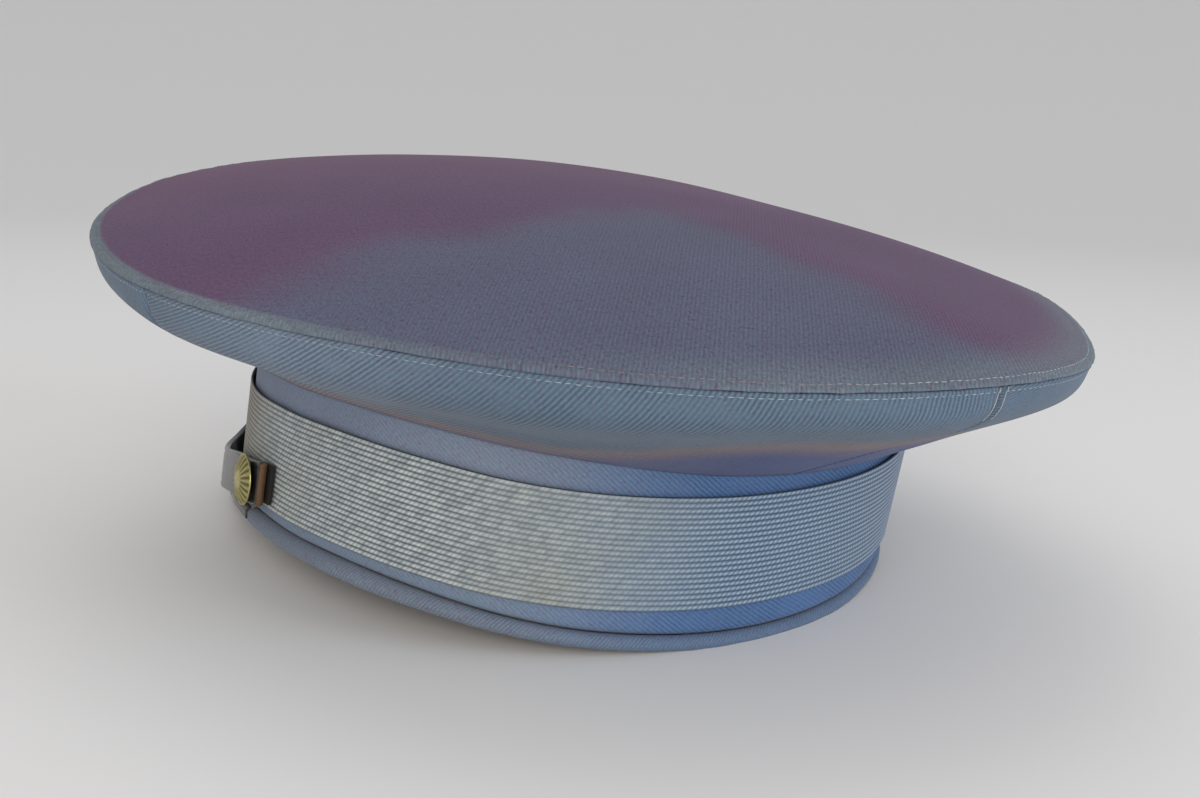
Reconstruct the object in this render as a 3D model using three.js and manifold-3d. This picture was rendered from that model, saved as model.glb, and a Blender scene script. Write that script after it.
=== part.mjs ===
// A peaked uniform cap, built piece by piece as a sewn cap is: an oval top panel, four quarters
// that slope in from its edge to an upright band, a ribbed braid round the band, a rolled welt
// below it, a stiff peak, and a leather chin strap held by two side buttons.
//
// Millimetres, +Z up. The front of the cap faces -Y and the wearer's left is +X. Pieces are laid
// out in the band's own frame, then settled: the cap is tipped back until it stands by itself on
// the tip of its peak and the back of its rim, on the plane z = 0.
import * as THREE from 'three'
import { mergeVertices } from 'three/addons/utils/BufferGeometryUtils.js'
import Module from 'manifold-3d'

const wasm = await Module()
wasm.setup()

// ---- Driving dimensions ----

const GAP = 0.3 // clearance between neighbouring pieces
const CLOTH = 1.6 // wall of the crown and the quarters: the fabric with its interlining
const DEGREE = Math.PI / 180
const STEPS = 72 // stations round the head

// The head oval, measured on the face of the braid.
const HEAD = { halfLength: 100.6, halfWidth: 90.3, squareness: 2.1, egg: 0.071 }

// The band's wall, its heights measured up from the rim's wave. It leans over to the wearer's
// right with height, about a line level with the middle of the braid.
const BAND = { setback: 1.1, wall: 2, sway: -0.1, swayFrom: 17 }
const BRAID = { bottom: 4, height: 28, thickness: 0.8, lean: 0.3 }
const WELT = { outset: -2.1, sides: 10, steps: 50, endGap: 0.4 }

// The crown's seam is an oval, tipped up at the front and drooping towards its sides.
const CROWN = {
  halfLength: 146.2, halfWidth: 131.8, squareness: 1.92, egg: -0.01,
  back: 6.3, height: 79.9, tilt: 1.3 * DEGREE, droopAcross: 0.0007, droopAlong: 0.0003,
  edgeScale: 0.981, edgeRise: 0.94, dome: 8.3,
}
const DOME_ROWS = [0.93, 0.8, 0.62, 0.42, 0.2] // shares of the seam's oval, from the edge inwards

// A quarter in section: steep below the seam, then a soft fold, then in under the overhang.
const QUARTER = {
  sideInset: 5.3, sideDrop: 9.6, foldAcross: 0.606, foldDown: 0.694, rows: 11,
  seamTurn: 0.12, // half of the seam's opening, as a turn
}
const SEAMS = { front: 0, left: 94, back: 175.5, right: 270 } // turns of the quarters' upright seams

const PEAK = { end: 79, thickness: 2, camber: 2.6, steps: 42 }
const STRAP = { end: 88.5, width: 11.8, thickness: 2, steps: 57 }
const TAB = { from: 77.5, to: 89.6, width: 10.4, thickness: 1, standoff: 0.6, steps: 4 }
const BUTTON = {
  turn: 84, radius: 6.9, seat: 0.45, flutes: 12, fluteDepth: 0.09,
  flutedFrom: 0.8, shank: 1.5, inside: 1, holeSides: 12, drill: 40,
}

// The resting pose: how far the cap tips back, and how much its soft rim is flattened there.
const REST = { tilt: 5.8 * DEGREE, flatten: 1.2 }

// Height of the rim by turn, in degrees round from the front: it arches over the ears.
const RIM_WAVE = [
  { turn: 0, rise: -9.4 },
  { turn: 40, rise: -8.5 },
  { turn: 60, rise: -6.9 },
  { turn: 75, rise: -4.8 },
  { turn: 90, rise: -1.8 },
  { turn: 105, rise: 0.4 },
  { turn: 120, rise: 0.6 },
  { turn: 135, rise: -0.6 },
  { turn: 150, rise: -1.5 },
  { turn: 180, rise: -2.3 },
]

// Height of the band's top edge by turn, right round the head: the cloth of the quarters has
// sagged over it at the back, and a little further on the wearer's right.
const BAND_TOP = [
  { turn: 0, height: 38.2 },
  { turn: 90, height: 38.2 },
  { turn: 140, height: 38.6 },
  { turn: 165, height: 36.2 },
  { turn: 190, height: 34.2 },
  { turn: 215, height: 33.4 },
  { turn: 250, height: 34.6 },
  { turn: 300, height: 37.4 },
  { turn: 360, height: 38.2 },
]

// The foot of the band by turn: how far its seam lies below the rim's wave, and the radius of the
// welt that is sewn on there.
const FOOT = [
  { turn: 0, drop: 0.2, welt: 2.4 },
  { turn: 60, drop: 0, welt: 2.4 },
  { turn: 79, drop: -0.4, welt: 2.4 },
  { turn: 95, drop: -0.2, welt: 2.3 },
  { turn: 110, drop: -0.2, welt: 2.4 },
  { turn: 128, drop: 0.5, welt: 2.1 },
  { turn: 150, drop: 2.2, welt: 1.9 },
  { turn: 180, drop: 3.4, welt: 1.9 },
]

// How the crown's sewn edge strays from an even oval, right round: up and outwards. The quarters
// stray with it, in how far they turn in and drop just below the seam.
const CROWN_EDGE = [
  { turn: 0, lift: -0.8, out: -0.1, inset: 0, drop: 0 },
  { turn: 30, lift: -1, out: -0.3, inset: 0, drop: 0 },
  { turn: 60, lift: -1.1, out: 0.1, inset: -0.5, drop: 0.1 },
  { turn: 90, lift: -0.2, out: 0, inset: -0.5, drop: 0.2 },
  { turn: 120, lift: 0.5, out: -0.2, inset: -0.2, drop: 0.8 },
  { turn: 150, lift: -0.3, out: 0.2, inset: 0, drop: 0 },
  { turn: 180, lift: 0.5, out: 1.5, inset: 0.6, drop: -0.4 },
  { turn: 210, lift: -3.1, out: -2, inset: 0.8, drop: -1.1 },
  { turn: 240, lift: -0.3, out: -0.3, inset: -0.1, drop: 0.1 },
  { turn: 270, lift: -1.8, out: -0.1, inset: 0, drop: 0 },
  { turn: 300, lift: 1, out: 0, inset: 0, drop: 0 },
  { turn: 330, lift: 1.1, out: 0, inset: 0, drop: 0 },
  { turn: 360, lift: -0.8, out: -0.1, inset: 0, drop: 0 },
]

// Plan reach of the peak beyond the band, and how far its edge droops from root to table.
const PEAK_OUTLINE = [
  { turn: 0, reach: 38, droop: 1 },
  { turn: 15, reach: 34.5, droop: 1 },
  { turn: 25, reach: 27.5, droop: 0.93 },
  { turn: 33, reach: 19.5, droop: 0.8 },
  { turn: 42, reach: 12, droop: 0.74 },
  { turn: 52, reach: 5.6, droop: 0.62 },
  { turn: 60, reach: 3.3, droop: 0.4 },
  { turn: 68, reach: 2.5, droop: 0.15 },
  { turn: 79, reach: 1.5, droop: 0.1 },
]

// The chin strap's run: height of its middle, and how far its back stands off the braid. It
// bows out ahead of each button, then lies close across the front, just above the peak.
const STRAP_RUN = [
  { turn: 0, centre: 8.2, standoff: 1.2 },
  { turn: 22, centre: 7.6, standoff: 1.2 },
  { turn: 38, centre: 5.4, standoff: 2.4 },
  { turn: 48, centre: 1.8, standoff: 3.9 },
  { turn: 55, centre: 1.9, standoff: 4.2 },
  { turn: 61, centre: 3.3, standoff: 3.6 },
  { turn: 69, centre: 6.3, standoff: 2.4 },
  { turn: 76, centre: 8.7, standoff: 1.95 },
  { turn: 84, centre: 10.2, standoff: 1.95 },
  { turn: 88.5, centre: 11.2, standoff: 1.95 },
]

// ---- Curves that the pieces share ----

/** A smooth curve through one column of a table, level at both ends. */
function smoothColumn(rows, column) {
  const last = rows.length - 1
  const slopes = rows.map((row, i) => {
    if (i === 0 || i === last) return 0
    return (rows[i + 1][column] - rows[i - 1][column]) / (rows[i + 1].turn - rows[i - 1].turn)
  })
  return (turn) => {
    const at = Math.min(turn, rows[last].turn)
    let i = 0
    while (i < last - 1 && at > rows[i + 1].turn) i += 1
    const span = rows[i + 1].turn - rows[i].turn
    const u = (at - rows[i].turn) / span
    const ends = rows[i][column] * (1 + 2 * u) * (1 - u) ** 2 + rows[i + 1][column] * u * u * (3 - 2 * u)
    return ends + span * (slopes[i] * u * (1 - u) ** 2 + slopes[i + 1] * u * u * (u - 1))
  }
}

/** Turns measured right round, from 0 up to 360. */
const fullTurn = (turn) => ((turn % 360) + 360) % 360

/** Turns measured from the front either way, so that left and right are alike. */
const eitherWay = (turn) => Math.min(fullTurn(turn), 360 - fullTurn(turn))

const alongTable = (rows, column, measure) => {
  const curve = smoothColumn(rows, column)
  return (turn) => curve(measure(turn))
}
const rimRise = alongTable(RIM_WAVE, 'rise', eitherWay)
const bandTop = alongTable(BAND_TOP, 'height', fullTurn)
const footDrop = alongTable(FOOT, 'drop', eitherWay)
const weltRadius = alongTable(FOOT, 'welt', eitherWay)
const edgeLift = alongTable(CROWN_EDGE, 'lift', fullTurn)
const edgeOut = alongTable(CROWN_EDGE, 'out', fullTurn)
const moreInset = alongTable(CROWN_EDGE, 'inset', fullTurn)
const moreDrop = alongTable(CROWN_EDGE, 'drop', fullTurn)
const peakReach = alongTable(PEAK_OUTLINE, 'reach', eitherWay)
const peakDroop = alongTable(PEAK_OUTLINE, 'droop', eitherWay)
const strapCentre = alongTable(STRAP_RUN, 'centre', eitherWay)
const strapStandoff = alongTable(STRAP_RUN, 'standoff', eitherWay)

/** A point of an egg-shaped superellipse at a turn in degrees, 0 at the front, 90 at the wearer's left. */
function oval(shape, turn) {
  const across = Math.sin(turn * DEGREE)
  const along = -Math.cos(turn * DEGREE)
  const power = 2 / shape.squareness
  const y = shape.halfLength * Math.sign(along) * Math.abs(along) ** power
  const x = shape.halfWidth * Math.sign(across) * Math.abs(across) ** power
  return { x: x * (1 + shape.egg * y / shape.halfLength), y }
}

/** Turns a point of the band's frame into the resting cap's frame. */
function tip(x, y, z) {
  const c = Math.cos(REST.tilt)
  const s = Math.sin(REST.tilt)
  return new THREE.Vector3(x, y * c + z * s, z * c - y * s)
}

/** A point round the head: outset from the face of the braid, height up from the rim's wave. */
function headPoint(turn, outset, height) {
  const { x, y } = oval(HEAD, turn)
  return settle(
    x * (1 + outset / HEAD.halfWidth) + BAND.sway * (height - BAND.swayFrom),
    y * (1 + outset / HEAD.halfLength),
    rimRise(turn) + height,
  )
}

/** Height of the welt's middle, below the seam at the foot of the band. */
function weltMiddle(turn) {
  return -footDrop(turn) - GAP - weltRadius(turn)
}

// The back of the welt stands on the table, flattened a little, and sets how high the cap sits.
const backHeight = rimRise(180) + weltMiddle(180) - weltRadius(180)
const backFoot = tip(0, HEAD.halfLength + WELT.outset, backHeight)
const lift = -backFoot.z - REST.flatten

function settle(x, y, z) {
  return tip(x, y, z).add(new THREE.Vector3(0, 0, lift))
}

/** Unit vector straight out from the band, level with the table. */
function outward(turn) {
  const before = headPoint(turn - 0.5, 0, 0)
  const after = headPoint(turn + 0.5, 0, 0)
  return new THREE.Vector3(after.y - before.y, before.x - after.x, 0).normalize()
}

/** Unit vector square to the face of the band at a height, whichever way the band leans. */
function squareOut(turn, height) {
  const round = headPoint(turn + 0.5, 0, height).sub(headPoint(turn - 0.5, 0, height))
  const up = headPoint(turn, 0, height + 1).sub(headPoint(turn, 0, height))
  return round.cross(up).normalize()
}

/** A point of the crown: the seam's oval scaled towards its middle, with a rise above the seam. */
function crownPoint(turn, scale, rise) {
  const edge = oval(CROWN, turn)
  const reach = scale * (1 + edgeOut(turn) / Math.hypot(edge.x, edge.y))
  const x = edge.x * reach
  const y = edge.y * reach
  const sag = CROWN.droopAcross * x ** 2 + CROWN.droopAlong * y ** 2
  const z = rise - sag + edgeLift(turn) * scale ** 2
  const c = Math.cos(CROWN.tilt)
  const s = Math.sin(CROWN.tilt)
  return settle(x, y * c + z * s + CROWN.back, z * c - y * s + CROWN.height)
}

// ---- Closed solids from rows of points ----

/** A closed wall between two grids of points, as a three.js geometry with its faces outwards. */
function wall(outer, inner, { ring = false, pole = false } = {}) {
  const index = new Map()
  const positions = []
  const triangles = []
  const id = (point) => {
    if (!index.has(point)) {
      index.set(point, positions.length / 3)
      positions.push(point.x, point.y, point.z)
    }
    return index.get(point)
  }
  const quad = (...points) => {
    const [a, b, c, d] = points.map(id)
    if (a !== b && b !== c && c !== a) triangles.push(a, b, c)
    if (a !== c && c !== d && d !== a) triangles.push(a, c, d)
  }
  const rows = outer.length
  const last = outer[0].length - 1
  for (let i = 0; i < (ring ? rows : rows - 1); i += 1) {
    const k = (i + 1) % rows
    for (let j = 0; j < last; j += 1) {
      quad(outer[i][j], outer[k][j], outer[k][j + 1], outer[i][j + 1])
      quad(inner[i][j], inner[i][j + 1], inner[k][j + 1], inner[k][j])
    }
    quad(outer[k][0], outer[i][0], inner[i][0], inner[k][0])
    if (!pole) quad(outer[i][last], outer[k][last], inner[k][last], inner[i][last])
  }
  if (!ring) {
    for (let j = 0; j < last; j += 1) {
      const end = rows - 1
      quad(outer[0][j], outer[0][j + 1], inner[0][j + 1], inner[0][j])
      quad(outer[end][j + 1], outer[end][j], inner[end][j], inner[end][j + 1])
    }
  }
  return facingOut(positions, triangles)
}

/** A solid swept through convex loops of points, closed into a ring or capped at its ends. */
function sweep(loops) {
  const sides = loops[0].length
  const positions = loops.flat().flatMap((point) => [point.x, point.y, point.z])
  const triangles = []
  for (let i = 0; i < loops.length - 1; i += 1) {
    for (let j = 0; j < sides; j += 1) {
      const a = i * sides + j
      const b = i * sides + ((j + 1) % sides)
      triangles.push(a, b, b + sides, a, b + sides, a + sides)
    }
  }
  const end = (loops.length - 1) * sides
  for (let j = 1; j < sides - 1; j += 1) {
    triangles.push(0, j + 1, j, end, end + j, end + j + 1)
  }
  return facingOut(positions, triangles)
}

/** Builds the geometry, turning every triangle round if the solid came out inside out. */
function facingOut(positions, triangles) {
  let volume = 0
  const corner = (i) => new THREE.Vector3().fromArray(positions, 3 * triangles[i])
  for (let i = 0; i < triangles.length; i += 3) {
    volume += corner(i).dot(corner(i + 1).cross(corner(i + 2)))
  }
  if (volume < 0) triangles.reverse()
  const geometry = new THREE.BufferGeometry()
  geometry.setAttribute('position', new THREE.Float32BufferAttribute(positions, 3))
  geometry.setIndex(triangles)
  return geometry
}

/** Turns between two limits, both included. */
function turnsBetween(from, to, steps) {
  return Array.from({ length: steps + 1 }, (_, i) => from + (to - from) * i / steps)
}

const allRound = Array.from({ length: STEPS }, (_, i) => 360 * i / STEPS)

// ---- The pieces ----

/** The oval top panel: a shallow dome whose edge rolls over to the seam. */
function crownTop() {
  const domeRise = (share) => CROWN.edgeRise + CROWN.dome * (1 - (share / CROWN.edgeScale) ** 2)
  const skin = (rim, depth) => {
    const rows = [...rim, ...DOME_ROWS.map((share) => [share, domeRise(share) - depth])]
    const middle = crownPoint(0, 0, domeRise(0) - depth)
    return allRound.map((turn) => [...rows.map(([share, rise]) => crownPoint(turn, share, rise)), middle])
  }
  const rolledEdge = [[1, 0], [0.996, 0.5], [CROWN.edgeScale, CROWN.edgeRise]]
  const insideEdge = [[1 - CLOTH / CROWN.halfLength, 0], [0.98, -0.1], [0.968, -0.35]]
  return wall(skin(rolledEdge, 0), skin(insideEdge, CLOTH), { ring: true, pole: true })
}

/** A point on the outside of the quarters: share 0 at the crown's seam, 1 at the top of the band. */
function quarterPoint(turn, share) {
  const seam = crownPoint(turn, 1, -GAP)
  const foot = headPoint(turn, -BAND.setback, bandTop(turn) + GAP)
  const level = new THREE.Vector3(foot.x - seam.x, foot.y - seam.y, 0)
  const overhang = level.length()
  level.normalize()
  const fall = seam.z - foot.z
  const side = seam.clone().addScaledVector(level, QUARTER.sideInset + moreInset(turn))
  side.z -= QUARTER.sideDrop + moreDrop(turn)
  const fold = seam.clone().addScaledVector(level, QUARTER.foldAcross * overhang)
  fold.z -= QUARTER.foldDown * fall
  return new THREE.CatmullRomCurve3([seam, side, fold, foot], false, 'catmullrom').getPoint(share)
}

/** One of the four side panels, between two seams. */
function quarter(from, to) {
  const shares = Array.from({ length: QUARTER.rows + 1 }, (_, j) => j / QUARTER.rows)
  const turns = turnsBetween(from + QUARTER.seamTurn, to - QUARTER.seamTurn, STEPS / 4)
  const small = 0.01
  const outer = turns.map((turn) => shares.map((share) => quarterPoint(turn, share)))
  const inner = turns.map((turn, i) => shares.map((share, j) => {
    const point = outer[i][j]
    if (j === 0) return crownPoint(turn, 1 - CLOTH / CROWN.halfLength, -GAP)
    if (j === QUARTER.rows) return headPoint(turn, -BAND.setback - CLOTH, bandTop(turn) + GAP)
    const round = quarterPoint(turn + small, share).sub(quarterPoint(turn - small, share))
    const down = quarterPoint(turn, share + small).sub(quarterPoint(turn, share - small))
    return point.clone().addScaledVector(round.cross(down).normalize(), CLOTH)
  }))
  return wall(outer, inner)
}

/** A ring round the head between two outsets, with a row of points at each height. */
function headRing(outsetAt, thickness, heightsAt) {
  const rows = (extra) => allRound.map((turn) => (
    heightsAt(turn).map((height) => headPoint(turn, outsetAt(height) - extra, height))
  ))
  return wall(rows(0), rows(thickness), { ring: true })
}

/** The upright cloth wall, from the seam above the welt to the foot of the quarters. */
function band() {
  const middle = BRAID.bottom + BRAID.height / 2
  return headRing(() => -BAND.setback, BAND.wall, (turn) => [-footDrop(turn), middle, bandTop(turn)])
}

/** The ribbed braid, which leans out a little towards its top edge. */
function braid() {
  const lean = (height) => BRAID.lean * (height - BRAID.bottom) / BRAID.height
  const heights = [BRAID.bottom, BRAID.bottom + BRAID.height / 2, BRAID.bottom + BRAID.height]
  return headRing(lean, BRAID.thickness, () => heights)
}

/** The rolled edge below the band, flattened where it stands on the table. */
function bottomWelt() {
  const start = PEAK.end + WELT.endGap
  const turns = turnsBetween(start, 360 - start, WELT.steps)
  return sweep(turns.map((turn) => (
    Array.from({ length: WELT.sides }, (_, j) => {
      const angle = 2 * Math.PI * (j + 0.5) / WELT.sides
      const outset = WELT.outset + weltRadius(turn) * Math.cos(angle)
      const height = weltMiddle(turn) + weltRadius(turn) * Math.sin(angle)
      const point = headPoint(turn, outset, height)
      point.z = Math.max(point.z, 0)
      return point
    })
  )))
}

/** The visor: a flange caught under the band, then a cambered blade that droops to the table. */
function peak() {
  const blade = [0, 0.2, 0.45, 0.7, 0.88, 1]
  const top = turnsBetween(-PEAK.end, PEAK.end, PEAK.steps).map((turn) => {
    const height = -footDrop(turn) - GAP
    const flange = headPoint(turn, -BAND.setback - BAND.wall, height)
    const root = headPoint(turn, -BAND.setback + GAP, height)
    const reach = peakReach(turn)
    const edge = root.clone().addScaledVector(outward(turn), reach)
    edge.z = (root.z - PEAK.thickness) * (1 - Math.min(peakDroop(turn), 1)) + PEAK.thickness
    const camber = PEAK.camber * reach / PEAK_OUTLINE[0].reach
    const rows = blade.map((share) => {
      const point = root.clone().lerp(edge, share)
      point.z += 4 * camber * share * (1 - share)
      return point
    })
    return [flange, ...rows]
  })
  const under = top.map((row) => row.map((point) => point.clone().setZ(point.z - PEAK.thickness)))
  return wall(top, under)
}

/** A leather strip that follows the chin strap's run, standing off the braid. */
function leatherStrip(from, to, { steps, width, thickness }, standoffAt) {
  const face = (turn, out) => [-width / 2, width / 2].map((half) => (
    headPoint(turn, standoffAt(turn) + out, strapCentre(turn) + half)
  ))
  const turns = turnsBetween(from, to, steps)
  return wall(turns.map((turn) => face(turn, thickness)), turns.map((turn) => face(turn, 0)))
}

/** Where a side button sits: its place on the face of the braid, and the way it faces. */
function buttonSeat(side) {
  const turn = side * BUTTON.turn
  const height = strapCentre(turn)
  return { place: headPoint(turn, 0, height), facing: squareOut(turn, height) }
}

/** Puts a geometry made along +Y at a button's seat, facing out. */
function seated(geometry, side) {
  const { place, facing } = buttonSeat(side)
  geometry.applyQuaternion(new THREE.Quaternion().setFromUnitVectors(new THREE.Vector3(0, 1, 0), facing))
  return geometry.translate(place.x, place.y, place.z)
}

/** A domed button with radial flutes, on the shank that goes through strap, braid and band. */
function sideButton(side) {
  const base = strapStandoff(BUTTON.turn) + STRAP.thickness + BUTTON.seat
  const back = -(BAND.setback + BAND.wall + BUTTON.inside)
  const r = BUTTON.radius
  const shank = [[0, back], [BUTTON.shank, back], [BUTTON.shank, base]]
  const rim = [[0.94 * r, base], [r, base + 0.4], [0.98 * r, base + 0.75]]
  const dome = [[0.85 * r, base + 1.3], [0.6 * r, base + 1.85], [0.3 * r, base + 2.15], [0, base + 2.25]]
  const profile = [...shank, ...rim, ...dome].map(([radius, height]) => new THREE.Vector2(radius, height))
  const geometry = new THREE.LatheGeometry(profile, 2 * BUTTON.flutes)
  const position = geometry.getAttribute('position')
  for (let i = 0; i < position.count; i += 1) {
    const radius = Math.hypot(position.getX(i), position.getZ(i))
    const height = position.getY(i) - base
    if (height > BUTTON.flutedFrom && radius > 0.5 * r) {
      const wave = Math.cos(BUTTON.flutes * Math.atan2(position.getZ(i), position.getX(i)))
      position.setY(i, base + height * (1 + BUTTON.fluteDepth * wave))
    }
  }
  return seated(closed(geometry), side)
}

/** The drill for a button's shank, with its clearance. */
function shankHole(side) {
  const radius = BUTTON.shank + GAP
  return seated(new THREE.CylinderGeometry(radius, radius, BUTTON.drill, BUTTON.holeSides), side)
}

// ---- Cuts ----

/** Merges a geometry's shared vertices, so that it is one closed mesh. */
function closed(geometry) {
  const bare = geometry.clone()
  bare.deleteAttribute('normal')
  bare.deleteAttribute('uv')
  return mergeVertices(bare, 1e-4)
}

function toManifold(geometry) {
  const solid = closed(geometry)
  return new wasm.Manifold(new wasm.Mesh({
    numProp: 3,
    vertProperties: new Float32Array(solid.getAttribute('position').array),
    triVerts: new Uint32Array(solid.getIndex().array),
  }))
}

/** A geometry with the shank holes of the given sides cut through it. */
function drilled(geometry, sides) {
  let solid = toManifold(geometry)
  for (const side of sides) solid = solid.subtract(toManifold(shankHole(side)))
  const { vertProperties, triVerts } = solid.getMesh()
  const result = new THREE.BufferGeometry()
  result.setAttribute('position', new THREE.BufferAttribute(vertProperties, 3))
  result.setIndex(new THREE.BufferAttribute(triVerts, 1))
  return result
}

// ---- Assembly ----

const FINISH = {
  twill: { color: 0x5d6a7c, roughness: 0.85, metalness: 0 },
  crownTwill: { color: 0x5f5b6c, roughness: 0.85, metalness: 0 },
  braid: { color: 0x7a8895, roughness: 0.55, metalness: 0 },
  patent: { color: 0x0e0e10, roughness: 0.12, metalness: 0 },
  leather: { color: 0x16130f, roughness: 0.5, metalness: 0 },
  gilt: { color: 0xb09a4a, roughness: 0.35, metalness: 1 },
}

const cap = new THREE.Group()

function add(name, geometry, finish) {
  const mesh = new THREE.Mesh(geometry, new THREE.MeshStandardMaterial(FINISH[finish]))
  mesh.name = name
  cap.add(mesh)
}

const LEFT = 1
const RIGHT = -1

add('crown_top', crownTop(), 'crownTwill')
add('quarter_front_left', quarter(SEAMS.front, SEAMS.left), 'twill')
add('quarter_back_left', quarter(SEAMS.left, SEAMS.back), 'twill')
add('quarter_back_right', quarter(SEAMS.back, SEAMS.right), 'twill')
add('quarter_front_right', quarter(SEAMS.right, SEAMS.front + 360), 'twill')
add('band', drilled(band(), [LEFT, RIGHT]), 'twill')
add('braid', drilled(braid(), [LEFT, RIGHT]), 'braid')
add('bottom_welt', bottomWelt(), 'twill')
add('peak', peak(), 'patent')
const strap = leatherStrip(-STRAP.end, STRAP.end, STRAP, strapStandoff)
add('chin_strap', drilled(strap, [LEFT, RIGHT]), 'patent')
for (const [name, side] of [['left', LEFT], ['right', RIGHT]]) {
  const tab = leatherStrip(side * TAB.from, side * TAB.to, TAB, () => TAB.standoff)
  add(`strap_tab_${name}`, drilled(tab, [side]), 'leather')
  add(`side_button_${name}`, sideButton(side), 'gilt')
}

// The origin is under the middle of the cap's box, on the table.
const box = new THREE.Box3().setFromObject(cap)
cap.position.set(-(box.min.x + box.max.x) / 2, -(box.min.y + box.max.y) / 2, 0)

export default cap
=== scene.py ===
# %% [markdown]
# # A peaked uniform cap
#
# The frame is the cap's construction: its pieces at their real size, each one a plain closed
# solid. This lesson dresses it. The cloth, the braid, the leather and the buttons are modelled
# again where the solids lie, finely enough to carry a weave, and then they get their finishes.

import math

import bmesh
import bpy
from mathutils import Matrix, Vector, noise


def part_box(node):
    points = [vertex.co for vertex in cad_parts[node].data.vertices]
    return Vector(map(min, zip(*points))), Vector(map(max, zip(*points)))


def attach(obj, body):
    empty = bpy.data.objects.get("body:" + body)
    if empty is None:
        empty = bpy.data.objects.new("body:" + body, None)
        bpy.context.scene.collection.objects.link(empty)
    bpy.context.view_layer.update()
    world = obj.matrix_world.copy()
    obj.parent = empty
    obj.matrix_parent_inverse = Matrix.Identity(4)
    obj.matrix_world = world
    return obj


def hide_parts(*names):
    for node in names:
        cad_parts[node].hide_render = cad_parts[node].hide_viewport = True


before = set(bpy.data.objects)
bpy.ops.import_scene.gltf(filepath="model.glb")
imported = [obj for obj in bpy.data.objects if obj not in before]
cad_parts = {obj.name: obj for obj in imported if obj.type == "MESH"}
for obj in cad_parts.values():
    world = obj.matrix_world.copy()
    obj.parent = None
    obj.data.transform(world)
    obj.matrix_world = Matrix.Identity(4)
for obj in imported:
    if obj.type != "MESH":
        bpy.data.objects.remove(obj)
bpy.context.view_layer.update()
MM = 0.001
print("nodes:", ", ".join(sorted(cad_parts)))

# %% [markdown]
# ## The curves that the pieces share
#
# A cap is drafted from few curves: the head oval, the oval of the crown's edge, the wave of the
# rim over the ears, and the section of a quarter. They could be read off the solids, but those
# have facets, so the same curves are written out here and every piece is laid on them. Turns
# are in degrees round from the front, through the wearer's left at 90 to the back at 180.

# %% Sizes of the cap, in millimetres
GAP = 0.3
HEAD = dict(half_length=100.6, half_width=90.3, squareness=2.1, egg=0.071)
CROWN = dict(half_length=146.2, half_width=131.8, squareness=1.92, egg=-0.01)
CROWN_SEAT = dict(back=6.3, height=79.9, tilt=math.radians(1.3), droop_across=0.0007, droop_along=0.0003)
DOME = dict(edge=0.981, edge_rise=0.94, rise=8.3)
QUARTER = dict(side_inset=5.3, side_drop=9.6, fold_across=0.606, fold_down=0.694)
BAND = dict(setback=1.1, sway=-0.1, sway_from=17.0)
BRAID = dict(bottom=4.0, height=28.0, lean=0.3)
WELT = dict(outset=-2.1)
PEAK = dict(end=79.0, thickness=2.0, camber=2.6)
STRAP = dict(end=88.5, width=11.8, thickness=2.0)
BUTTON = dict(turn=84.0, radius=6.9, seat=0.45, rays=20)
REST = dict(tilt=math.radians(5.8), flatten=1.2)

print("the face of the braid is", 2 * HEAD["half_length"], "by", 2 * HEAD["half_width"], "mm")

# %% Curves, each as rows of (turn, value)
# Height of the rim, by turn either way from the front.
RIM_WAVE = ((0, -9.4), (40, -8.5), (60, -6.9), (75, -4.8), (90, -1.8),
            (105, 0.4), (120, 0.6), (135, -0.6), (150, -1.5), (180, -2.3))
# Height of the top of the band, by turn right round.
BAND_TOP = ((0, 38.2), (90, 38.2), (140, 38.6), (165, 36.2), (190, 34.2),
            (215, 33.4), (250, 34.6), (300, 37.4), (360, 38.2))
# How far the seam at the band's foot lies below the rim's wave, and the welt's radius there, by turn.
FOOT_DROP = ((0, 0.2), (60, 0), (79, -0.4), (95, -0.2), (110, -0.2), (128, 0.5), (150, 2.2), (180, 3.4))
WELT_RADIUS = ((0, 2.4), (60, 2.4), (79, 2.4), (95, 2.3), (110, 2.4), (128, 2.1), (150, 1.9), (180, 1.9))
# How the crown's sewn edge strays from an even oval, by turn right round: up, and outwards.
EDGE_LIFT = ((0, -0.8), (30, -1), (60, -1.1), (90, -0.2), (120, 0.5), (150, -0.3), (180, 0.5),
             (210, -3.1), (240, -0.3), (270, -1.8), (300, 1), (330, 1.1), (360, -0.8))
EDGE_OUT = ((0, -0.1), (30, -0.3), (60, 0.1), (90, 0), (120, -0.2), (150, 0.2), (180, 1.5),
            (210, -2), (240, -0.3), (270, -0.1), (300, 0), (330, 0), (360, -0.1))
# How much further the quarters turn in and drop just below that edge.
MORE_INSET = ((0, 0), (30, 0), (60, -0.5), (90, -0.5), (120, -0.2), (150, 0), (180, 0.6),
              (210, 0.8), (240, -0.1), (270, 0), (300, 0), (330, 0), (360, 0))
MORE_DROP = ((0, 0), (30, 0), (60, 0.1), (90, 0.2), (120, 0.8), (150, 0), (180, -0.4),
             (210, -1.1), (240, 0.1), (270, 0), (300, 0), (330, 0), (360, 0))
# The peak's reach beyond the band, and how far its edge droops to the table, by turn.
PEAK_REACH = ((0, 38), (15, 34.5), (25, 27.5), (33, 19.5), (42, 12), (52, 5.6), (60, 3.3), (68, 2.5),
              (79, 1.5))
PEAK_DROOP = ((0, 1), (15, 1), (25, 0.93), (33, 0.8), (42, 0.74), (52, 0.62), (60, 0.4), (68, 0.15),
              (79, 0.1))
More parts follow.
